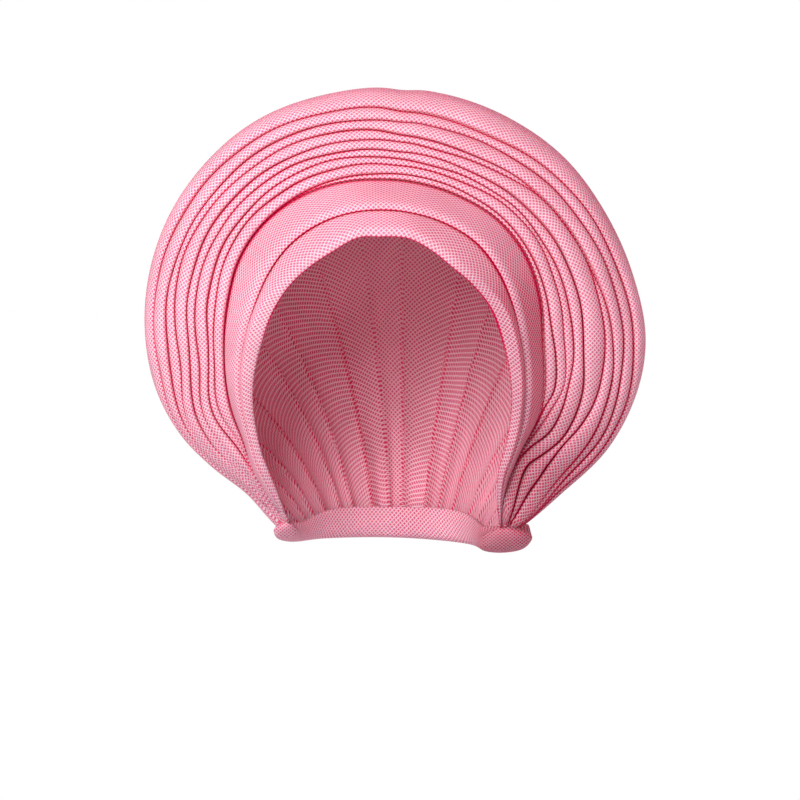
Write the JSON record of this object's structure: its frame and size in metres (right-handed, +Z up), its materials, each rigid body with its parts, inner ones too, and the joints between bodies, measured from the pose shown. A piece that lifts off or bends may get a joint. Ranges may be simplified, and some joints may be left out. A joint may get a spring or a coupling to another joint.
{
  "type": "tied gele head tie",
  "caption": "Pre-tied gele head wrap in stiff pink woven cloth: folded brow bands, a round pleated fan framing the face, a gathered crown and a rolled nape edge.",
  "frame": {"origin": "middle of the wearer's head at brow height, inside the hollow, where the head tie sits", "axes": "+Z up, -Y out of the face opening, +X to the right of someone who looks at the face"},
  "size_m": [0.2847, 0.1791, 0.2628],
  "materials": {
    "woven_cloth": "matte two-tone pink cloth with a small diamond weave, stiff, slight sheen"
  },
  "bodies": {
    "root": {"brow_band_lower": "woven_cloth", "brow_band_upper": "woven_cloth", "pleated_fan": "woven_cloth", "back_crown": "woven_cloth", "nape_roll": "woven_cloth"}
  },
  "joints": []
}
